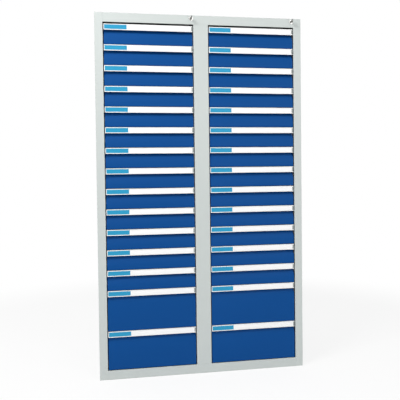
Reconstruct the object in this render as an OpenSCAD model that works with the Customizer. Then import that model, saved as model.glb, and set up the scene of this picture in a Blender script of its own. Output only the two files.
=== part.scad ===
// Sheet-steel drawer cabinet for small parts: two columns of fifteen drawers on roller runners,
// each column with a lock that lifts a locking bar behind the right-hand stile.
// Origin: centre of the base. +X to the right, +Y to the back, +Z up. Millimetres.

/* [Cabinet] */
// Depth from the front face to the rear edge
cab_d = 600; // [520:1:700]
// Height of the top and bottom rails
rail_h = 45; // [40:1:60]
// Width of the outer stiles
stile_w = 39; // [34:1:60]
// Width of the centre stile
mid_w = 74; // [60:1:100]
// Clear width of one column
open_w = 444; // [360:1:560]
// Thickness of panels, rails and stiles
sheet = 1.2; // [0.8:0.1:1.6]
// Width of the hems folded behind the inner edges of rails and stiles
hem_w = 9; // [7:0.5:10]
// Depth of the lips folded behind the outer edges of the rails
outer_lip_d = 15; // [8:1:20]
// Width of the flanges folded along the rear edges
rear_flange = 20; // [12:1:30]
// Height of the flanges folded from the top and floor panels
pan_flange = 25; // [16:1:28]
// Thickness of the back panels
back_t = 1; // [0.8:0.1:1.5]
// Width of the flange that joins the centre wall to the back panels
centre_flange = 30; // [24:1:40]

/* [Drawers] */
// Height of the cell of a small drawer
small_h = 100; // [96:1:140]
// Height of the cell of a large drawer
big_h = 200; // [150:1:300]
// Gap between a drawer front and the stile beside it
front_gap = 4.5; // [1.5:0.1:5]
// Gap above a handle strip
top_gap = 9; // [6:0.5:12]
// Gap between a front and the handle strip below it
seam_gap = 3; // [2:0.5:5]
// Setback of a flat front behind the face of the handle strip
front_in = 2; // [1:0.1:4]
// Thickness of a front
front_t = 1.2; // [0.8:0.1:1.6]
// Depth of the return along the bottom of a front
return_d = 16; // [10:1:18]
// Height of the sloped band under a handle strip
slope_h = 28; // [20:1:32]
// Thickness of the tray sheet
tray_t = 1; // [0.8:0.1:1.5]
// Height of the tray above the floor of its cell
tray_low = 4; // [2:0.5:8]
// Space above the tray in its cell
tray_drop = 20; // [16:1:30]
// Free space behind a tray
rear_gap = 60; // [55:1:90]

/* [Handle strip] */
// Height of the strip
strip_h = 28; // [26:1:34]
// Thickness of the strip's face
strip_t = 3; // [2.4:0.1:4]
// Depth of the finger space behind the strip
finger_d = 22; // [20:1:32]
// Thickness of the flange over the finger space
flange_t = 2; // [1.5:0.1:3]
// Depth of the lip under the finger edge
finger_lip = 4; // [2:0.5:6]
// Height of the label groove
groove_h = 21.6; // [14:0.1:22]
// Depth of the label groove
groove_d = 1.2; // [1:0.1:1.4]
// Thickness of a label
label_t = 0.8; // [0.5:0.1:1]
// Distance from the left end of the strip to the first label
label_in = 3; // [1:1:20]
// Length of the coloured label
label_w = 108; // [60:1:160]
// Length of the end stop in the groove
stop_w = 7; // [6:1:14]

/* [Runners] */
// Radius of the rear roller
roller_r = 11; // [9:0.5:11.5]
// Width of a roller
roller_w = 9; // [7:0.5:10]
// Height of the roller axles above the floor of the cell
runner_z = 27; // [25:0.5:28]
// Thickness of the runner sheet
runner_t = 1.2; // [1:0.1:1.5]
// Radius of a roller pin
pin_r = 3; // [2.5:0.1:4]
// Radius of the head of a roller pin
head_r = 4.5; // [4.2:0.1:6]
// Thickness of the head of a roller pin
head_t = 0.8; // [0.6:0.1:1.2]
// Running clearance around a roller pin
pin_fit = 0.05; // [0.02:0.01:0.1]
// Width of an upright, front to back
upright_w = 40; // [30:1:60]
// Distance of the front uprights behind the front face
upright_in = 60; // [52:1:90]
// Distance of the rear uprights in front of the end of the trays
upright_rear_in = 20; // [10:1:80]

/* [Locks] */
// Distance of the lock from the right edge of its column
lock_in = 12; // [11:0.5:16]
// Distance of the lock axis below the top of the cabinet
lock_drop = 16; // [15:0.5:18]
// Radius of the lock's collar
collar_r = 11; // [10:0.5:12]
// Radius of the lock barrel
barrel_r = 9; // [8:0.5:9.5]
// Length of the lock barrel behind the front face
barrel_l = 20; // [16:0.5:24]
// Radius of the lock core
core_r = 6.5; // [6:0.1:7]
// Running clearance around the lock core
core_fit = 0.05; // [0.02:0.01:0.1]
// Radius at which the cam pin turns
cam_throw = 7.1; // [6:0.1:7.5]
// Radius of the cam pin
cam_pin_r = 2.5; // [2:0.1:3]
// Thickness of the locking bar and of its hooks
bar_t = 3; // [2:0.1:4]
// Width of the locking bar
bar_w = 16; // [12:0.5:18]
// How far a hook reaches into the column
hook_reach = 9; // [8:0.5:10]
// Height of a hook and of a catch
hook_h = 6; // [5:0.5:7]
// Width of a catch
catch_w = 9; // [7:0.5:10]

/* [Fixings] */
// Radius of the holes for floor anchors
anchor_r = 5; // [4:0.5:7]
// Distance of the floor anchors from the sides, the front and the rear
anchor_in = 80; // [50:1:120]
// Radius of the holes for wall screws
wall_hole_r = 4.5; // [3:0.5:6]
// Distance of the wall screws from the sides
wall_hole_in = 120; // [60:1:180]
// Distance of the wall screws below the top of the cabinet
wall_drop = 80; // [60:5:200]

/* [Hidden] */
$fn = 48;
SMALL_ROWS = 13;
BIG_ROWS = 2;
ROWS = SMALL_ROWS + BIG_ROWS;
GUIDE_ROWS = [1, 7, 12];
COLUMNS = ["left", "right"];
function drawer_node(column, row) = str("drawer_", COLUMNS[column], "_", row < 9 ? "0" : "", row + 1);

frame_colour = "gainsboro";
front_colour = "royalblue";
tray_colour = "silver";
strip_colour = "white";
label_colour = "deepskyblue";
stop_colour = "dimgray";
steel_colour = "lightsteelblue";
roller_colour = "ivory";

// Clearance between pieces that are seated on each other, and between sheets welded together
seat = 0.3;
weld = 0.1;
// Free space between the end of a folded flange and the next sheet
notch = 5;
// How far a cut runs past the faces that it goes through
cut = 1;
// Free space inside a hem, and depth of a hemmed edge
hem_slit = 0.6;
hem_d = 2 * sheet + hem_slit;

// Cabinet outline
cab_w = 2 * stile_w + mid_w + 2 * open_w;
cab_h = 2 * rail_h + SMALL_ROWS * small_h + BIG_ROWS * big_h;
front_y = -cab_d / 2;
rear_y = cab_d / 2;
wall_x_in = cab_w / 2 - sheet;
back_y = rear_y - sheet - back_t;
open_z = rail_h;
edge_x = open_w / 2;

// Columns and cells. Row 0 is the top row.
function column_x(column) = (column == 0 ? -1 : 1) * (mid_w + open_w) / 2;
function cell_h(row) = row < SMALL_ROWS ? small_h : big_h;
function cell_z(row) = row < SMALL_ROWS
    ? open_z + BIG_ROWS * big_h + (SMALL_ROWS - 1 - row) * small_h
    : open_z + (ROWS - 1 - row) * big_h;

// Drawer
front_w = open_w - 2 * front_gap;
neck_y = front_y + finger_d;
wall_y = neck_y + front_t + seat;
tray_y = wall_y + tray_t + seat;
tray_end = rear_y - rear_gap;
front_drop = top_gap - seam_gap;
flange_past = 2;

// Runners. The cabinet's channel holds the drawer's rear roller, and the drawer's rail rides on
// the front roller, just above the channel.
// roller_play is the rear roller's play in the channel, ride_gap lifts the rail above the channel,
// pin_play and rail_gap keep pin heads and flanges off the sheet that they pass.
roller_play = 1;
ride_gap = 0.3;
pin_play = 1.2;
rail_gap = 0.7;
roller_chamfer = 1;
side_gap = 2 * runner_t + roller_w + 2 * seat + head_t + pin_play;
tray_w = open_w - 2 * side_gap;
channel_in = 2 * roller_r + roller_play;
channel_h = channel_in + 2 * runner_t;
channel_d = side_gap - weld - runner_t - rail_gap;
front_roller_r = channel_h / 2 + ride_gap;
rail_under = front_roller_r + seat;
rail_reach = side_gap - weld - 2 * runner_t - rail_gap;
roller_seat = channel_in / 2 - roller_r - seat;
// Lengths along the runner, from one feature to the next
runner_in = 2;
roller_in = 4;
channel_in_y = 2;
rear_axle_in = 8;
runner_past = 10;
rail_in = 4;
runner_start = front_y + finger_d + runner_in;
front_axle_y = runner_start + roller_in + front_roller_r;
channel_start = front_axle_y + front_roller_r + channel_in_y;
rear_axle_y = tray_end - rear_axle_in;
runner_end = tray_end + runner_past;
upright_front_y = front_y + upright_in;
upright_rear_y = tray_end - upright_rear_in - upright_w;
upright_end = pan_flange + notch;

// Lock
lock_x = edge_x - lock_in;
lock_z = cab_h - lock_drop;
lock_fit = 0.1;
collar_t = 2;
nut_t = 5;
nut_r = 12;
core_past = 10;
core_proud = 0.5;
core_front = front_y - collar_t - core_proud;

// Cam on the stub of the core, with the screw that holds it
cam_y = front_y + barrel_l + core_past;
cam_t = 3;
cam_r = 11;
stub_r = 4;
cam_fit = 0.05;
screw_r = 1.6;
screw_l = 12;
screw_play = 1;
screw_head_r = 3.5;
screw_head_t = 2;
pin_side = cam_throw * cos(45);

// Key, with a round bow
key_t = 2;
key_h = 8;
key_l = barrel_l + collar_t;
key_fit = 0.1;
key_play = 1;
bow_r = 10;
bow_t = 2.4;
bow_neck = 7;
bow_bite = 2;
key_out = bow_neck + bow_bite;
bow_hole_r = 5;
bow_hole_in = 0.5;
bow_y = core_front - bow_neck - bow_r;

// Locking bar, hooks, catches and guides
bar_play = 1;
bar_gap = screw_head_t + bar_play;
bar_in = 2;
bar_past = 10;
bar_y = cam_y + cam_t + bar_gap;
bar_x = edge_x + bar_in;
slot_z = lock_z - pin_side;
slot_in = lock_x + pin_side - cam_pin_r - seat;
slot_out = lock_x + cam_throw + cam_pin_r + seat;
slot_play = 0.4;
slot_wall = 2;
head_wall = 4.5;
bar_top = slot_z + cam_pin_r + slot_play + head_wall;
pin_past = 1;
hook_y = bar_y + bar_t + weld;
hook_z = 50;
hook_in = 3;
catch_gap = 2;
catch_y = hook_y + bar_t + catch_gap;
catch_z = hook_z + hook_h + catch_gap;
guide_z = 74;
guide_h = 12;
guide_wall = 3;

// Screws of the back panels
back_screw_r = 1.9;
back_screw_l = 5;
back_head_r = 3.5;
screw_hole_r = back_screw_r + 0.1;
seam_screws = 5;
panel_seam = (centre_flange - sheet) / 2;
function pan_screw_x() = [for (i = [-2, -1, 1, 2]) i * wall_x_in / 3 + panel_seam];
function pan_screw_z() = [sheet + pan_flange / 2, cab_h - sheet - pan_flange / 2];
function seam_screw_x() = [panel_seam - centre_flange / 4, panel_seam + centre_flange / 4];
function seam_screw_z() =
    [for (i = [0 : seam_screws - 1]) 2 * rail_h + i * (cab_h - 4 * rail_h) / (seam_screws - 1)];

// Sheet folded along a path: the sheet lies to the left of the path.
function left_of(a, b) = [a.y - b.y, b.x - a.x] / norm(b - a);
function inner_point(path, i, t) =
    i == 0 ? path[0] + t * left_of(path[0], path[1])
    : i == len(path) - 1 ? path[i] + t * left_of(path[i - 1], path[i])
    : let (a = left_of(path[i - 1], path[i]), b = left_of(path[i], path[i + 1]))
      path[i] + t * (a + b) / (1 + a * b);
module folded(path, t)
    polygon(concat(path, [for (i = [len(path) - 1 : -1 : 0]) inner_point(path, i, t)]));

// Extrusions of an outline along each axis
module along_x(from, to)
    translate([from, 0, 0]) rotate([90, 0, 90]) linear_extrude(to - from) children();
module along_y(from, to)
    translate([0, to, 0]) rotate([90, 0, 0]) linear_extrude(to - from) children();
module along_z(from, to)
    translate([0, 0, from]) linear_extrude(to - from) children();
module block(low, high) translate(low) cube(high - low);
module rod_x(from, to, y, z, r)
    translate([from, y, z]) rotate([0, 90, 0]) cylinder(h = to - from, r = r);
module rod_y(from, to, x, z, r)
    translate([x, from, z]) rotate([-90, 0, 0]) cylinder(h = to - from, r = r);
module both_sides() {
    children();
    mirror([1, 0, 0]) children();
}
module both_ends() {
    children();
    translate([0, 0, cab_h]) mirror([0, 0, 1]) children();
}

// --- Cabinet body ---

// Side wall with its hemmed front stile and its rear flange folded from one sheet
module side_panel() {
    half = cab_w / 2;
    path = [
        [-half + rear_flange, rear_y], [-half, rear_y], [-half, front_y],
        [-half + stile_w, front_y], [-half + stile_w, front_y + hem_d],
        [-half + stile_w - hem_w, front_y + hem_d]
    ];
    color(frame_colour) {
        along_z(sheet, cab_h - sheet) folded(path, sheet);
        block([-half, front_y, 0], [-half + sheet, rear_y, cab_h]);
    }
}

// Sheet with a flange folded down at each side and at the rear; laid flat for the floor
module pan() {
    side_start = front_y + outer_lip_d + notch;
    side_end = back_y - sheet - notch;
    block([-wall_x_in, front_y, -sheet], [wall_x_in, rear_y, 0]);
    both_sides()
        block([wall_x_in - sheet, side_start, -sheet - pan_flange], [wall_x_in, side_end, -sheet]);
    block([-wall_x_in + notch, back_y - sheet, -sheet - pan_flange],
          [wall_x_in - notch, back_y, -sheet]);
}

module top_panel() color(frame_colour)
    difference() {
        translate([0, 0, cab_h]) pan();
        for (x = pan_screw_x())
            rod_y(back_y - sheet - cut, back_y + cut, x, pan_screw_z()[1], screw_hole_r);
    }

module floor_panel() color(frame_colour)
    difference() {
        mirror([0, 0, 1]) pan();
        for (x = [-1, 1], y = [-1, 1])
            translate([x * (cab_w / 2 - anchor_in), y * (cab_d / 2 - anchor_in), -cut])
                cylinder(h = sheet + 2 * cut, r = anchor_r);
        for (x = pan_screw_x())
            rod_y(back_y - sheet - cut, back_y + cut, x, pan_screw_z()[0], screw_hole_r);
    }

rail_x = cab_w / 2 - stile_w;

// Rail across the front, with a hem behind its inner edge and a lip behind its outer edge
module rail_section(inner_z, outer_z) {
    up = outer_z > inner_z;
    path = [
        [front_y + hem_d, inner_z + (up ? hem_w : -hem_w)], [front_y + hem_d, inner_z],
        [front_y, inner_z], [front_y, outer_z], [front_y + outer_lip_d, outer_z]
    ];
    folded(up ? [for (i = [4 : -1 : 0]) path[i]] : path, sheet);
}

module top_rail() color(frame_colour)
    difference() {
        along_x(-rail_x, rail_x) rail_section(cab_h - rail_h, cab_h - sheet);
        for (column = [0, 1])
            rod_y(front_y - cut, front_y + sheet + cut,
                  column_x(column) + lock_x, lock_z, barrel_r + lock_fit);
    }

module bottom_rail() color(frame_colour)
    along_x(-rail_x, rail_x) rail_section(rail_h, sheet);

module centre_stile() color(frame_colour)
    along_z(rail_h, cab_h - rail_h) folded([
        [-mid_w / 2 + hem_w, front_y + hem_d], [-mid_w / 2, front_y + hem_d], [-mid_w / 2, front_y],
        [mid_w / 2, front_y], [mid_w / 2, front_y + hem_d], [mid_w / 2 - hem_w, front_y + hem_d]
    ], sheet);

// Partition behind the centre stile, with a flange for both back panels
module centre_wall() color(frame_colour)
    difference() {
        along_z(sheet, cab_h - sheet) folded([
            [-sheet / 2 + centre_flange, back_y], [-sheet / 2, back_y], [-sheet / 2, front_y + sheet]
        ], sheet);
        for (x = seam_screw_x(), z = seam_screw_z())
            rod_y(back_y - sheet - cut, back_y + cut, x, z, screw_hole_r);
        both_ends() {
            block([-sheet, front_y, 0], [sheet, front_y + outer_lip_d + seat, rail_h + seat]);
            block([-sheet, back_y - sheet - seat, 0],
                  [centre_flange, back_y + cut, sheet + pan_flange + seat]);
        }
    }

// --- Back panels and their screws ---

module back_panel(from, to) color(frame_colour)
    difference() {
        block([from, back_y, sheet + seat], [to, back_y + back_t, cab_h - sheet - seat]);
        for (x = pan_screw_x(), z = pan_screw_z()) rod_y(back_y - cut, rear_y, x, z, screw_hole_r);
        for (x = seam_screw_x(), z = seam_screw_z()) rod_y(back_y - cut, rear_y, x, z, screw_hole_r);
        for (side = [-1, 1])
            rod_y(back_y - cut, rear_y, side * (cab_w / 2 - wall_hole_in), cab_h - wall_drop, wall_hole_r);
    }

module back_screw(x, z) {
    rod_y(rear_y - sheet - back_screw_l, rear_y - sheet, x, z, back_screw_r);
    rod_y(rear_y - sheet, rear_y, x, z, back_head_r);
}

module back_panel_screws() color(steel_colour) {
    for (x = pan_screw_x(), z = pan_screw_z()) back_screw(x, z);
    for (x = seam_screw_x(), z = seam_screw_z()) back_screw(x, z);
}

// --- Uprights and runners ---

// Channel upright from the edge of a column out to the wall beside it
module upright(from_y, depth)
    along_z(upright_end, cab_h - upright_end) folded([
        [edge_x + depth, from_y + upright_w], [edge_x, from_y + upright_w],
        [edge_x, from_y], [edge_x + depth, from_y]
    ], runner_t);

module uprights(column) {
    outer = stile_w - sheet;
    inner = (mid_w - sheet) / 2;
    color(frame_colour) translate([column_x(column), 0, 0])
        for (y = [upright_front_y, upright_rear_y]) {
            mirror([1, 0, 0]) upright(y, column == 0 ? outer : inner);
            upright(y, column == 0 ? inner : outer);
        }
}

// Right-hand cabinet runner: channel, web in front of it, and the pin of the front roller.
// x is 0 at the edge of the column and z is 0 at the floor of the cell.
module cabinet_runner() {
    low = runner_z - channel_h / 2;
    high = runner_z + channel_h / 2;
    along_y(channel_start, runner_end)
        folded([[-channel_d, low], [0, low], [0, high], [-channel_d, high]], runner_t);
    block([-runner_t, runner_start, low], [0, channel_start, high]);
    rod_x(-runner_t - 2 * seat - roller_w, -runner_t, front_axle_y, runner_z, pin_r);
    rod_x(-runner_t - 2 * seat - roller_w - head_t, -runner_t - 2 * seat - roller_w,
          front_axle_y, runner_z, head_r);
}

module runners(column) color(steel_colour)
    translate([column_x(column), 0, 0])
        for (row = [0 : ROWS - 1]) both_sides() translate([edge_x, 0, cell_z(row)]) cabinet_runner();

module roller(r) difference() {
    rotate([0, 90, 0]) rotate_extrude() polygon([
        [0, 0], [r - roller_chamfer, 0], [r, roller_chamfer],
        [r, roller_w - roller_chamfer], [r - roller_chamfer, roller_w], [0, roller_w]
    ]);
    rod_x(-cut, roller_w + cut, 0, 0, pin_r + pin_fit);
}

module front_rollers(column) color(roller_colour)
    translate([column_x(column), 0, 0])
        for (row = [0 : ROWS - 1]) both_sides()
            translate([edge_x - runner_t - seat - roller_w, front_axle_y, cell_z(row) + runner_z])
                roller(front_roller_r);

// --- Drawers ---

// Tray bottom and sides folded from one sheet
module tray_shell(h)
    along_y(tray_y, tray_end - tray_t - seat) folded([
        [-tray_w / 2, h - tray_drop], [-tray_w / 2, tray_low],
        [tray_w / 2, tray_low], [tray_w / 2, h - tray_drop]
    ], tray_t);

module tray_end_wall(from, h)
    block([-tray_w / 2, from, tray_low], [tray_w / 2, from + tray_t, h - tray_drop]);

// Front sheet: neck behind the handle strip, slope, flat face, bottom return and closed ends
module drawer_front(h, low) {
    strip_low = h - top_gap - strip_h;
    face_y = front_y + front_in;
    path = [
        [neck_y, h - top_gap - flange_t - seat], [neck_y, strip_low],
        [face_y, strip_low - slope_h], [face_y, low], [face_y + return_d, low]
    ];
    along_x(-front_w / 2, front_w / 2) folded(path, front_t);
    both_sides() along_x(front_w / 2 - front_t, front_w / 2)
        polygon([path[3], path[4], path[1], path[2]]);
}

// Handle strip: grooved face, finger lip, and flange over the neck of the front
module handle_strip(h) {
    low = h - top_gap - strip_h;
    high = h - top_gap;
    border = (strip_h - groove_h) / 2;
    back = finger_d + front_t + flange_past;
    along_x(-front_w / 2, front_w / 2) translate([front_y, 0]) polygon([
        [0, low], [0, low + border], [groove_d, low + border], [groove_d, high - border],
        [0, high - border], [0, high], [back, high], [back, high - flange_t],
        [strip_t, high - flange_t], [strip_t, low + flange_t], [strip_t + finger_lip, low + flange_t],
        [strip_t + finger_lip, low]
    ]);
}

module label(from, to, h) {
    middle = h - top_gap - strip_h / 2;
    half = groove_h / 2 - seat;
    label_y = front_y + groove_d - weld;
    block([from, label_y - label_t, middle - half], [to, label_y, middle + half]);
}

// Right-hand drawer rail with its rear pin; x is 0 at the edge of the column
module drawer_rail() {
    top = runner_z + rail_under + runner_t;
    axle_z = runner_z - roller_seat;
    web = -side_gap + weld;
    face = web + runner_t;
    head = face + roller_w + 2 * seat;
    along_y(tray_y + rail_in, tray_end - seat) folded([
        [face + rail_reach, top], [web, top], [web, runner_z - roller_r]
    ], runner_t);
    rod_x(face, head, rear_axle_y, axle_z, pin_r);
    rod_x(head, head + head_t, rear_axle_y, axle_z, head_r);
}

module drawer_catch() {
    from = edge_x - side_gap + weld;
    block([from, catch_y, catch_z], [from + catch_w, catch_y + bar_t, catch_z + hook_h]);
}

module drawer(column, row) {
    h = cell_h(row);
    low = row == ROWS - 1 ? seam_gap : -front_drop;
    label_end = -front_w / 2 + label_in + label_w;
    translate([column_x(column), 0, cell_z(row)]) {
        color(tray_colour) {
            tray_shell(h);
            tray_end_wall(wall_y, h);
            tray_end_wall(tray_end - tray_t, h);
            both_sides() translate([edge_x, 0, 0]) drawer_rail();
            drawer_catch();
        }
        color(front_colour) drawer_front(h, low);
        color(strip_colour) {
            handle_strip(h);
            label(label_end + seat, front_w / 2 - stop_w - seat, h);
        }
        color(label_colour) label(-front_w / 2 + label_in, label_end, h);
        color(stop_colour) label(front_w / 2 - stop_w, front_w / 2, h);
        color(roller_colour) both_sides()
            translate([edge_x - side_gap + weld + runner_t + seat, rear_axle_y, runner_z - roller_seat])
                roller(roller_r);
    }
}

// --- Locks ---

module at_lock(column) translate([column_x(column) + lock_x, 0, lock_z]) children();

module lock_barrels() color(steel_colour)
    for (column = [0, 1]) at_lock(column) difference() {
        union() {
            rod_y(front_y - collar_t, front_y, 0, 0, collar_r);
            rod_y(front_y, front_y + barrel_l, 0, 0, barrel_r);
        }
        rod_y(front_y - collar_t - cut, front_y + barrel_l + cut, 0, 0, core_r + core_fit);
    }

module lock_nuts() color(steel_colour)
    for (column = [0, 1]) at_lock(column) difference() {
        translate([0, front_y + sheet, 0]) rotate([-90, 30, 0]) cylinder(h = nut_t, r = nut_r, $fn = 6);
        rod_y(front_y, front_y + sheet + nut_t + cut, 0, 0, barrel_r + lock_fit);
    }

module lock_core(column) color(steel_colour) at_lock(column) difference() {
    union() {
        rod_y(core_front, cam_y, 0, 0, core_r);
        rod_y(cam_y, cam_y + cam_t, 0, 0, stub_r);
    }
    block([-key_t / 2 - key_fit, core_front - cut, -key_h / 2 - key_fit],
          [key_t / 2 + key_fit, core_front + key_l + key_play, key_h / 2 + key_fit]);
    rod_y(cam_y + cam_t - screw_l, cam_y + cam_t + cut, 0, 0, screw_r + cam_fit);
}

module lock_cam(column) color(steel_colour) at_lock(column) {
    difference() {
        rod_y(cam_y, cam_y + cam_t, 0, 0, cam_r);
        rod_y(cam_y - cut, cam_y + cam_t + cut, 0, 0, stub_r + cam_fit);
    }
    rod_y(cam_y + cam_t, bar_y + bar_t + pin_past, pin_side, -pin_side, cam_pin_r);
}

module cam_screw(column) color(tray_colour) at_lock(column) {
    rod_y(cam_y + cam_t - screw_l + screw_play, cam_y + cam_t, 0, 0, screw_r);
    rod_y(cam_y + cam_t, cam_y + cam_t + screw_head_t, 0, 0, screw_head_r);
}

module key(column) color(tray_colour) at_lock(column) {
    difference() {
        union() {
            block([-key_t / 2, core_front - key_out, -key_h / 2],
                  [key_t / 2, core_front + key_l, key_h / 2]);
            rod_x(-bow_t / 2, bow_t / 2, bow_y, 0, bow_r);
        }
        rod_x(-bow_t, bow_t, bow_y - bow_hole_in, 0, bow_hole_r);
    }
}

// Bar behind the stile, with a slotted head for the cam pin and a hook for each drawer welded on
module locking_bar(column) color(steel_colour) translate([column_x(column), 0, 0]) {
    slot_h = cam_pin_r + slot_play;
    head_z = slot_z - slot_h - head_wall;
    block([bar_x, bar_y, cell_z(ROWS - 1) + hook_z - bar_past],
          [bar_x + bar_w, bar_y + bar_t, head_z - weld]);
    difference() {
        block([slot_in - slot_wall, bar_y, head_z], [bar_x + bar_w, bar_y + bar_t, bar_top]);
        block([slot_in, bar_y - cut, slot_z - slot_h],
              [slot_out, bar_y + bar_t + cut, slot_z + slot_h]);
    }
    for (row = [0 : ROWS - 1])
        block([edge_x - hook_reach, hook_y, cell_z(row) + hook_z],
              [bar_x + bar_w - hook_in, hook_y + bar_t, cell_z(row) + hook_z + hook_h]);
}

// Blocks on the front uprights that the bar slides through
module locking_bar_guides() color(stop_colour)
    for (column = [0, 1], row = GUIDE_ROWS) translate([column_x(column), 0, cell_z(row) + guide_z])
        difference() {
            block([edge_x + seat, bar_y - guide_wall, 0],
                  [bar_x + bar_w + guide_wall, upright_front_y, guide_h]);
            block([bar_x - seat, bar_y - seat, -cut],
                  [bar_x + bar_w + seat, bar_y + bar_t + seat, guide_h + cut]);
        }

// --- Placement ---

side_panel();  // left_side_panel
mirror([1, 0, 0]) side_panel();  // right_side_panel
top_panel();
floor_panel();
top_rail();
bottom_rail();
centre_stile();
centre_wall();
back_panel(-wall_x_in + seat, panel_seam - seat / 2);  // left_back_panel
back_panel(panel_seam + seat / 2, wall_x_in - seat);  // right_back_panel
back_panel_screws();
uprights(0);  // left_uprights
uprights(1);  // right_uprights
runners(0);  // left_runners
runners(1);  // right_runners
front_rollers(0);  // left_front_rollers
front_rollers(1);  // right_front_rollers
lock_barrels();
lock_nuts();
locking_bar_guides();
lock_core(0);  // left_lock_core
lock_core(1);  // right_lock_core
lock_cam(0);  // left_lock_cam
lock_cam(1);  // right_lock_cam
cam_screw(0);  // left_cam_screw
cam_screw(1);  // right_cam_screw
key(0);  // left_key
key(1);  // right_key
locking_bar(0);  // left_locking_bar
locking_bar(1);  // right_locking_bar
for (column = [0, 1]) for (row = [0 : ROWS - 1])
    drawer(column, row);
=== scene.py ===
import math

import bpy
from mathutils import Matrix, Vector


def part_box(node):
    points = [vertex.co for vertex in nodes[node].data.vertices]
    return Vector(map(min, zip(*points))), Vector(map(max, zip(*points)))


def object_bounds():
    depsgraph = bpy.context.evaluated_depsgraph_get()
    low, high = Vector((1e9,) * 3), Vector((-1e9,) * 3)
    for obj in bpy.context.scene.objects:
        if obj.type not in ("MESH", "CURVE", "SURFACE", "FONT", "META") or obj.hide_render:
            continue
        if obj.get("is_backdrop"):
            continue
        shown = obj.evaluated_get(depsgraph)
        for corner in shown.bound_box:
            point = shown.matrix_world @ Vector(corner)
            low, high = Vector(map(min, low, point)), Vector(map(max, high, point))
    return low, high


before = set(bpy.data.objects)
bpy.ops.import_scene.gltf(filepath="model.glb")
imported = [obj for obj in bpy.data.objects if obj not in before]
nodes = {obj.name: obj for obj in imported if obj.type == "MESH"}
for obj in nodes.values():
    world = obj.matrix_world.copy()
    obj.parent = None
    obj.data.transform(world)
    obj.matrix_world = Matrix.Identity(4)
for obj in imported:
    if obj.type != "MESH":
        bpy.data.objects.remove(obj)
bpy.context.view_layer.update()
scene = bpy.context.scene

# --- Camera ---
# A normal lens at chest height, in line with the cabinet's left side and turned a little to
# the right, so that the left side panel just disappears behind its stile.
camera_at = Vector((-0.523, -3.148, 1.031))
turned_right, turned_down, tilted = 0.1774, 0.0267, 0.0117
camera = bpy.data.objects.new("camera", bpy.data.cameras.new("camera"))
camera.data.lens = 52.10
camera.data.shift_y = -0.04
camera.matrix_world = (
    Matrix.Translation(camera_at)
    @ Matrix.Rotation(-turned_right, 4, "Z")
    @ Matrix.Rotation(math.pi / 2 - turned_down, 4, "X")
    @ Matrix.Rotation(-tilted, 4, "Z")
)
scene.collection.objects.link(camera)
scene.camera = camera

# --- Studio ---
# A wide white floor without a horizon, which keeps a soft shadow at the foot of the cabinet.
# The key softbox stands high on the left, so the sheet metal darkens towards the lower right,
# and a weaker one in front fills the shadows.


class Value:
    """An output in a material's nodes. Arithmetic on it adds Math nodes."""

    def __init__(self, tree, socket=None):
        self.tree, self.socket = tree, socket

    def node(self, kind, inputs, output=0, **settings):
        """Another node in the same material: its settings are set before its inputs."""
        made = self.tree.nodes.new(kind)
        for name, setting in settings.items():
            setattr(made, name, setting)
        for name, value in inputs.items():
            if isinstance(value, Value):
                self.tree.links.new(value.socket, made.inputs[name])
            else:
                made.inputs[name].default_value = value
        return Value(self.tree, made.outputs[output] if made.outputs else None)

    def math(self, operation, a, b):
        return self.node("ShaderNodeMath", {0: a, 1: b}, operation=operation)

    def __add__(self, other):
        return self.math("ADD", self, other)

    def __mul__(self, other):
        return self.math("MULTIPLY", self, other)

    __radd__, __rmul__ = __add__, __mul__


def new_material(name):
    """An empty material, and a Value that adds nodes to it."""
    material = bpy.data.materials.new(name)
    material.use_nodes = True
    material.node_tree.nodes.clear()
    return material, Value(material.node_tree)


def step_between(value, low, high):
    """0 up to low, 1 from high, and a soft step between them."""
    return value.node("ShaderNodeMapRange", {"Value": value, "From Min": low, "From Max": high},
                      interpolation_type="SMOOTHSTEP")


def seen_directly(value):
    """1 for what the camera sees, also in metal or through glass, and 0 for light on the object."""
    seen = value.node("ShaderNodeLightPath", {}, output="Is Camera Ray")
    rays = seen.socket.node.outputs
    for kind in ("Is Glossy Ray", "Is Transmission Ray"):
        seen = value.math("MAXIMUM", seen, Value(value.tree, rays[kind]))
    return seen


floor_size = 14.0
floor_white = (0.88, 0.88, 0.88, 1)
# The shadow takes this share of the white near the cabinet, and fades out over this band
shadow_share = 0.2
shadow_reach = (1.6, 2.6)

floor_mesh = bpy.data.meshes.new("floor")
corner = floor_size / 2
floor_mesh.from_pydata(
    [(-corner, -corner, 0), (corner, -corner, 0), (corner, corner, 0), (-corner, corner, 0)],
    [], [(0, 1, 2, 3)])
floor = bpy.data.objects.new("floor", floor_mesh)
scene.collection.objects.link(floor)
floor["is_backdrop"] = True

floor_paint, value = new_material("floor_white")
seen = seen_directly(value)
where = value.node("ShaderNodeTexCoord", {}, output="Object")
away = value.node("ShaderNodeVectorMath", {0: where}, output="Value", operation="LENGTH")
far = step_between(away, *shadow_reach)
white_share = seen * ((1 - shadow_share) + far * shadow_share)
matt = value.node("ShaderNodeBsdfDiffuse", {"Color": floor_white})
white = value.node("ShaderNodeEmission", {"Color": (1, 1, 1, 1), "Strength": 1.0})
value.node("ShaderNodeOutputMaterial", {
    "Surface": value.node("ShaderNodeMixShader", {0: white_share, 1: matt, 2: white})})
floor_mesh.materials.append(floor_paint)

# The sky's own light falls from overhead to the horizon, over this band of its height
sky_light, horizon_light = 0.76, 0.06
horizon_band = (0.05, 0.6)

world = bpy.data.worlds.new("studio")
world.use_nodes = True
world.node_tree.nodes.clear()
value = Value(world.node_tree)
seen = seen_directly(value)
where = value.node("ShaderNodeTexCoord", {}, output="Generated")
height = value.node("ShaderNodeSeparateXYZ", {"Vector": where}, output="Z")
light = step_between(height, *horizon_band) * (sky_light - horizon_light) + horizon_light
value.node("ShaderNodeOutputWorld", {
    "Surface": value.node("ShaderNodeBackground", {
        "Color": (1, 1, 1, 1), "Strength": value.math("MAXIMUM", seen, light)})})
scene.world = world


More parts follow.
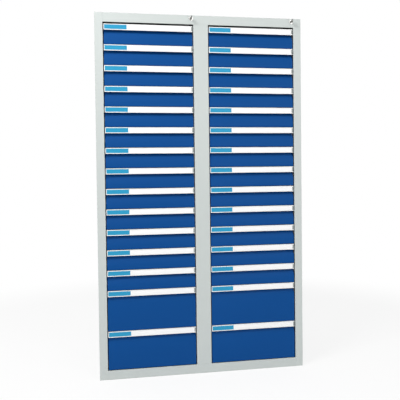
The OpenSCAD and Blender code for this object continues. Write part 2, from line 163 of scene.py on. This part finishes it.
def softbox(name, at, towards, width, power):
    """A square area lamp that faces the point towards, with its power in watts."""
    lamp = bpy.data.objects.new(name, bpy.data.lights.new(name, "AREA"))
    lamp.data.shape = "SQUARE"
    lamp.data.size = width
    lamp.data.energy = power
    lamp.location = at
    lamp.rotation_mode = "QUATERNION"
    lamp.rotation_quaternion = (Vector(towards) - Vector(at)).to_track_quat("-Z", "Y")
    scene.collection.objects.link(lamp)


softbox("key", at=(-1.8, -1.9, 3.2), towards=(0.0, -0.3, 1.6), width=1.2, power=68)
softbox("fill", at=(1.2, -3.4, 1.9), towards=(0.1, -0.3, 1.6), width=1.6, power=26)
scene.view_settings.view_transform = "Standard"

# --- Side panels, stiles and rails ---
# Cold-rolled sheet steel, 1.2 mm thick, spot-welded into one body. Its front edges are folded
# back flat into hems. It is powder-coated light grey, with the fine orange peel of a baked coat.
frame_grey = (0.550, 0.590, 0.574)
hem_depth = 0.003

# Orange peel, the finer speckle between its bumps, and the slow drift of the coat over a sheet
peel_scale = 1 / 0.0026
speckle_scale = 1.9 * peel_scale
drift_scale = 1.7
speckle_share = 0.25
coat_unevenness = 0.06

# Folds and cut edges of the sheet. Only edges sharper than sharp_angle are rounded.
fold_radius, fold_steps = 0.0014, 4
edge_radius, edge_steps = 0.0004, 2
sharp_angle = math.radians(40)
near_fold = 0.00015
same_corner = 0.00001
X, Z = 0, 2


def shade(colour, factor):
    """A colour made darker or lighter by a factor, with its alpha."""
    return (*(min(factor * c, 1) for c in colour), 1)


def blend_colours(value, share, first, second):
    """first where share is 0, and second where it is 1."""
    return value.node("ShaderNodeMix", {"Factor": share, 6: first, 7: second},
                      output=2, data_type="RGBA")


def noise(value, where, scale, detail=2.0):
    """Soft noise between 0 and 1, with scale in waves a metre."""
    return value.node("ShaderNodeTexNoise", {"Vector": where, "Scale": scale, "Detail": detail})


def powder_coat(name, colour, roughness, gloss=0.45):
    """Baked powder paint: a slight drift in tone over the sheet, and orange peel."""
    material, value = new_material(name)
    where = value.node("ShaderNodeTexCoord", {}, output="Object")
    drift = noise(value, where, drift_scale, detail=3)
    speckle = noise(value, where, speckle_scale, detail=1)
    peel = noise(value, where, peel_scale, detail=1.5)
    tone = drift * (1 - speckle_share) + speckle * speckle_share
    smoothest = roughness - 0.05
    bump = value.node("ShaderNodeBump", {"Strength": 0.22, "Distance": 0.00012, "Height": peel})
    paint = value.node("ShaderNodeBsdfPrincipled", {
        "Base Color": blend_colours(value, tone, shade(colour, 0.955), shade(colour, 1.03)),
        "Roughness": smoothest + drift * coat_unevenness + peel * coat_unevenness,
        "Specular IOR Level": gloss,
        "Normal": bump})
    value.node("ShaderNodeOutputMaterial", {"Surface": paint})
    return material


def round_edges(piece, radius=edge_radius, folds=()):
    """Rounds a CAD piece's edges. folds lists lines (axis, u, v) along which the sheet is
    bent, with the line's place on the two other axes, and these get the bend's radius."""
    mesh = piece.data
    if mesh.attributes.get("custom_normal"):
        mesh.attributes.remove(mesh.attributes["custom_normal"])
    mesh.shade_smooth()
    weld = piece.modifiers.new("weld", "WELD")
    weld.merge_threshold = same_corner
    if folds:
        weight = mesh.attributes.new("bevel_weight_edge", "FLOAT", "EDGE")
        for edge in mesh.edges:
            ends = [mesh.vertices[i].co for i in edge.vertices]
            for axis, u, v in folds:
                others = [k for k in range(3) if k != axis]
                if all(abs(end[others[0]] - u) < near_fold
                       and abs(end[others[1]] - v) < near_fold for end in ends):
                    weight.data[edge.index].value = 1
        bend = piece.modifiers.new("bend", "BEVEL")
        bend.limit_method, bend.width, bend.segments = "WEIGHT", fold_radius, fold_steps
        bend.harden_normals = True
    soft = piece.modifiers.new("edge", "BEVEL")
    soft.limit_method, soft.angle_limit = "ANGLE", sharp_angle
    soft.width, soft.segments, soft.harden_normals = radius, edge_steps, True
    piece.modifiers.new("flat", "WEIGHTED_NORMAL")


def dress(name, material, radius=edge_radius, folds=()):
    """Gives a CAD node its material and rounded edges."""
    piece = nodes[name]
    piece.data.materials.clear()
    piece.data.materials.append(material)
    round_edges(piece, radius, folds)


frame_paint = powder_coat("frame_paint", frame_grey, roughness=0.46)
for side in ("left", "right"):
    low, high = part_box(f"{side}_side_panel")
    dress(f"{side}_side_panel", frame_paint,
          folds=[(Z, x, y) for x in (low.x, high.x) for y in (low.y, low.y + hem_depth, high.y)])
for name in ("top_rail", "bottom_rail"):
    low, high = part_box(name)
    dress(name, frame_paint,
          folds=[(X, y, z) for y in (low.y, low.y + hem_depth) for z in (low.z, high.z)])
low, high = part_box("centre_stile")
dress("centre_stile", frame_paint,
      folds=[(Z, x, y) for x in (low.x, high.x) for y in (low.y, low.y + hem_depth)])

# --- Top, floor, centre wall and back ---
# Pans of the same painted sheet close the body above and below. The centre wall stands behind
# the centre stile. Two flat panels are screwed on at the rear, rounded only at their sides.
low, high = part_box("top_panel")
dress("top_panel", frame_paint, folds=[(X, low.y, high.z), (X, high.y, high.z)])
low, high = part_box("floor_panel")
dress("floor_panel", frame_paint, folds=[(X, low.y, low.z), (X, high.y, low.z)])
for name in ("centre_wall", "left_uprights", "right_uprights"):
    dress(name, frame_paint)
for name in ("left_back_panel", "right_back_panel"):
    low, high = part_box(name)
    dress(name, frame_paint, radius=0, folds=[(Z, low.x, high.y), (Z, high.x, high.y)])

# --- Runners, locking bars and screws ---
# Roll-formed or punched from zinc-plated steel. The plating is bluish and dull, with the
# lines of rolling along the strip.
zinc_grey = (0.60, 0.62, 0.64)
grain_scale, grain_share = 900, 0.3
cloud_scale = 24
small_edge = 0.0003
# Scale of the grain along a rolled strip, which draws it out into lines
rolled = 0.04


def zinc_plate(name, colour, stretch):
    """Dull zinc plating. stretch holds the scale of its grain on each axis."""
    material, value = new_material(name)
    where = value.node("ShaderNodeTexCoord", {}, output="Object")
    stretched = value.node("ShaderNodeVectorMath", {0: where, 1: stretch}, operation="MULTIPLY")
    grain = noise(value, stretched, grain_scale)
    cloud = noise(value, where, cloud_scale, detail=3)
    tone = cloud * (1 - grain_share) + grain * grain_share
    bump = value.node("ShaderNodeBump", {"Strength": 0.15, "Distance": 0.00005, "Height": grain})
    metal = value.node("ShaderNodeBsdfPrincipled", {
        "Base Color": blend_colours(value, tone, shade(colour, 0.82), shade(colour, 1.12)),
        "Metallic": 0.9,
        "Roughness": 0.3 + cloud * 0.16 + grain * 0.08,
        "Normal": bump})
    value.node("ShaderNodeOutputMaterial", {"Surface": metal})
    return material


runner_zinc = zinc_plate("runner_zinc", zinc_grey, (1, rolled, 1))
bar_zinc = zinc_plate("bar_zinc", zinc_grey, (1, 1, rolled))
for side in ("left", "right"):
    dress(f"{side}_runners", runner_zinc, small_edge)
    dress(f"{side}_locking_bar", bar_zinc)
    dress(f"{side}_lock_cam", bar_zinc, small_edge)
    dress(f"{side}_cam_screw", bar_zinc, small_edge)
dress("back_panel_screws", bar_zinc, small_edge)
dress("lock_nuts", bar_zinc)

# --- Rollers ---
# Turned from natural nylon, which is slightly yellow and waxy, and riveted to the runners and
# drawer rails by their pins.
nylon_white = (0.80, 0.78, 0.71)
mottle_scale = 160


def nylon(name, colour):
    """Turned nylon, slightly mottled and waxy."""
    material, value = new_material(name)
    where = value.node("ShaderNodeTexCoord", {}, output="Object")
    mottle = noise(value, where, mottle_scale)
    bump = value.node("ShaderNodeBump", {"Strength": 0.1, "Distance": 0.0001, "Height": mottle})
    wax = value.node("ShaderNodeBsdfPrincipled", {
        "Base Color": blend_colours(value, mottle, shade(colour, 0.93), shade(colour, 1)),
        "Roughness": 0.32 + mottle * 0.12,
        "Subsurface Weight": 0.05,
        "Normal": bump})
    value.node("ShaderNodeOutputMaterial", {"Surface": wax})
    return material


roller_nylon = nylon("roller_nylon", nylon_white)
for side in ("left", "right"):
    dress(f"{side}_front_rollers", roller_nylon, small_edge)

# --- Locks ---
# A nickel-plated cam lock at the right end of each column's rail: a barrel held by a nut, a
# turning core, and a flat key with a round bow.
nickel_grey = (0.62, 0.62, 0.60)
# The key's nickel is near black, far darker than nickel is: a painted dark reflection
key_dark_reflection_grey = (0.13, 0.13, 0.125)
wear_scale = 380
collar_edge = 0.0005


def nickel(name, colour, roughness):
    """Polished nickel plating with fine wear."""
    material, value = new_material(name)
    where = value.node("ShaderNodeTexCoord", {}, output="Object")
    wear = noise(value, where, wear_scale, detail=3)
    bump = value.node("ShaderNodeBump", {"Strength": 0.08, "Distance": 0.00005, "Height": wear})
    plate = value.node("ShaderNodeBsdfPrincipled", {
        "Base Color": blend_colours(value, wear, shade(colour, 0.86), shade(colour, 1)),
        "Metallic": 1.0,
        "Roughness": roughness + wear * 0.12,
        "Normal": bump})
    value.node("ShaderNodeOutputMaterial", {"Surface": plate})
    return material


lock_nickel = nickel("lock_nickel", nickel_grey, roughness=0.18)
# The key's plating gets the near-black colour above, as painted dark reflection
key_nickel_dark_reflection = nickel("key_nickel_dark_reflection", key_dark_reflection_grey, roughness=0.26)
dress("lock_barrels", lock_nickel, collar_edge)
for side in ("left", "right"):
    dress(f"{side}_lock_core", lock_nickel, small_edge)
    dress(f"{side}_key", key_nickel_dark_reflection)

# --- Guides of the locking bars ---
# Blocks of black plastic, moulded with a fine texture and clipped to the front uprights at three
# heights. Each locking bar slides through the holes of its three guides.
guide_black = (0.018, 0.018, 0.02)
texture_scale = 1500
moulded_edge = 0.0005


def moulded_plastic(name, colour, roughness):
    """Plastic with the fine matt texture of its mould."""
    material, value = new_material(name)
    where = value.node("ShaderNodeTexCoord", {}, output="Object")
    texture = noise(value, where, texture_scale, detail=1)
    bump = value.node("ShaderNodeBump", {"Strength": 0.25, "Distance": 0.00008, "Height": texture})
    plastic = value.node("ShaderNodeBsdfPrincipled", {
        "Base Color": blend_colours(value, texture, shade(colour, 1), shade(colour, 1.25)),
        "Roughness": roughness + texture * 0.1,
        "Normal": bump})
    value.node("ShaderNodeOutputMaterial", {"Surface": plastic})
    return material


guide_plastic = moulded_plastic("guide_black", guide_black, roughness=0.5)
dress("locking_bar_guides", guide_plastic, moulded_edge)

# --- Drawers ---
# A galvanised tray with riveted rails and nylon rollers carries a blue powder-coated front.
# The handle strip over it is extruded aluminium, coated white before it was sawn to length. Its
# sawn ends are bare metal, but coloured far darker than bare aluminium as painted shade for the
# narrow gaps beside them. Its groove holds card labels, and a dark plastic stop closes the groove
# at the right end.
front_blue = (0.0032, 0.065, 0.250)
strip_white = (0.92, 0.92, 0.92)
card_white = (0.93, 0.93, 0.925)
card_blue = (0.025, 0.31, 0.53)
stop_grey = (0.26, 0.285, 0.275)
# The strip's sawn ends: bare metal, darkened as painted shade for the gaps beside them
sawn_metal_and_shade_grey, saw_marks = (0.30, 0.31, 0.32), 0.1
dark_zinc, light_zinc = (0.50, 0.52, 0.54, 1), (0.66, 0.68, 0.69, 1)
crystal_scale, crystal_share = 140, 0.6
zinc_cloud_scale = 9
fibre_scale = 700

# What tells a drawer's pieces apart: a label or stop is thin and low, a strip reaches the drawer's
# face over its whole width, the front lies a little behind it, and a roller is as high as it is
# deep. Of the three in the groove, the blue label is the first from the left and the stop the last.
thin, low_height, wide = 0.0009, 0.032, 0.2
front_setback = 0.016
facing_sideways = 0.99


def galvanised(name):
    """Hot-dip galvanised sheet, with the faint crystal pattern of the zinc."""
    material, value = new_material(name)
    where = value.node("ShaderNodeTexCoord", {}, output="Object")
    crystals = value.node("ShaderNodeTexVoronoi", {"Vector": where, "Scale": crystal_scale},
                          output="Color")
    crystal_grey = value.node("ShaderNodeRGBToBW", {"Color": crystals})
    cloud = noise(value, where, zinc_cloud_scale, detail=3)
    tone = crystal_grey * crystal_share + cloud * (1 - crystal_share)
    zinc = value.node("ShaderNodeBsdfPrincipled", {
        "Base Color": blend_colours(value, tone, dark_zinc, light_zinc),
        "Metallic": 0.85,
        "Roughness": 0.34 + crystal_grey * 0.12})
    value.node("ShaderNodeOutputMaterial", {"Surface": zinc})
    return material


def card(name, colour):
    """A printed card label under its clear film."""
    material, value = new_material(name)
    where = value.node("ShaderNodeTexCoord", {}, output="Object")
    fibres = noise(value, where, fibre_scale)
    bump = value.node("ShaderNodeBump", {"Strength": 0.1, "Distance": 0.00004, "Height": fibres})
    film = value.node("ShaderNodeBsdfPrincipled", {
        "Base Color": blend_colours(value, fibres, shade(colour, 0.96), shade(colour, 1)),
        "Roughness": 0.38 + fibres * 0.1,
        "Specular IOR Level": 0.2,
        "Normal": bump})
    value.node("ShaderNodeOutputMaterial", {"Surface": film})
    return material


drawer_finishes = [
    galvanised("tray_zinc"),
    powder_coat("front_paint", front_blue, roughness=0.48, gloss=0.08),
    powder_coat("strip_coat", strip_white, roughness=0.40),
    card("card_white", card_white),
    card("card_blue", card_blue),
    moulded_plastic("stop_plastic", stop_grey, roughness=0.45),
    roller_nylon,
    zinc_plate("sawn_aluminium_and_shade", sawn_metal_and_shade_grey, (1, 1, saw_marks)),
]
TRAY, FRONT, STRIP, WHITE_CARD, BLUE_CARD, STOP, ROLLER, SAWN_END_AND_SHADE = range(8)


def separate_pieces(mesh):
    """The pieces in a drawer's mesh: for each, its faces and its lowest and highest corner."""
    corner_at, group = {}, []
    for vertex in mesh.vertices:
        group.append(corner_at.setdefault(tuple(round(c / same_corner) for c in vertex.co),
                                          vertex.index))

    def head(i):
        while group[i] != i:
            group[i] = group[group[i]]
            i = group[i]
        return i

    for face in mesh.polygons:
        first = head(face.vertices[0])
        for i in face.vertices[1:]:
            group[head(i)] = first
            first = head(first)
    faces = {}
    for face in mesh.polygons:
        faces.setdefault(head(face.vertices[0]), []).append(face)
    found = []
    for members in faces.values():
        corners = [mesh.vertices[i].co for face in members for i in face.vertices]
        found.append((members, Vector(map(min, zip(*corners))), Vector(map(max, zip(*corners)))))
    return found


def finishes_of(pieces, face_y):
    """Which of drawer_finishes each piece of a drawer has. face_y is the drawer's front face."""
    found = []
    for _, low, high in pieces:
        size = high - low
        if size.y < thin and size.z < low_height:
            found.append(WHITE_CARD)
        elif size.x > wide and low.y < face_y + thin:
            found.append(STRIP)
        elif size.x > wide and low.y < face_y + front_setback:
            found.append(FRONT)
        elif size.x < low_height and abs(size.y - size.z) < same_corner:
            found.append(ROLLER)
        else:
            found.append(TRAY)
    labels = sorted((i for i, finish in enumerate(found) if finish == WHITE_CARD),
                    key=lambda i: pieces[i][1].x)
    found[labels[0]] = BLUE_CARD
    found[labels[-1]] = STOP
    return found


for name in sorted(nodes):
    if not name.startswith("drawer_"):
        continue
    drawer = nodes[name]
    drawer.data.materials.clear()
    for material in drawer_finishes:
        drawer.data.materials.append(material)
    pieces = separate_pieces(drawer.data)
    finishes = finishes_of(pieces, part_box(name)[0].y)
    for (faces, _, _), finish in zip(pieces, finishes):
        for face in faces:
            # A strip's end faces take the sawn finish, darkened as painted shade for the gaps
            # beside them
            shaded_sawn_end = finish == STRIP and abs(face.normal.x) > facing_sideways
            face.material_index = SAWN_END_AND_SHADE if shaded_sawn_end else finish
    round_edges(drawer)

low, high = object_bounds()
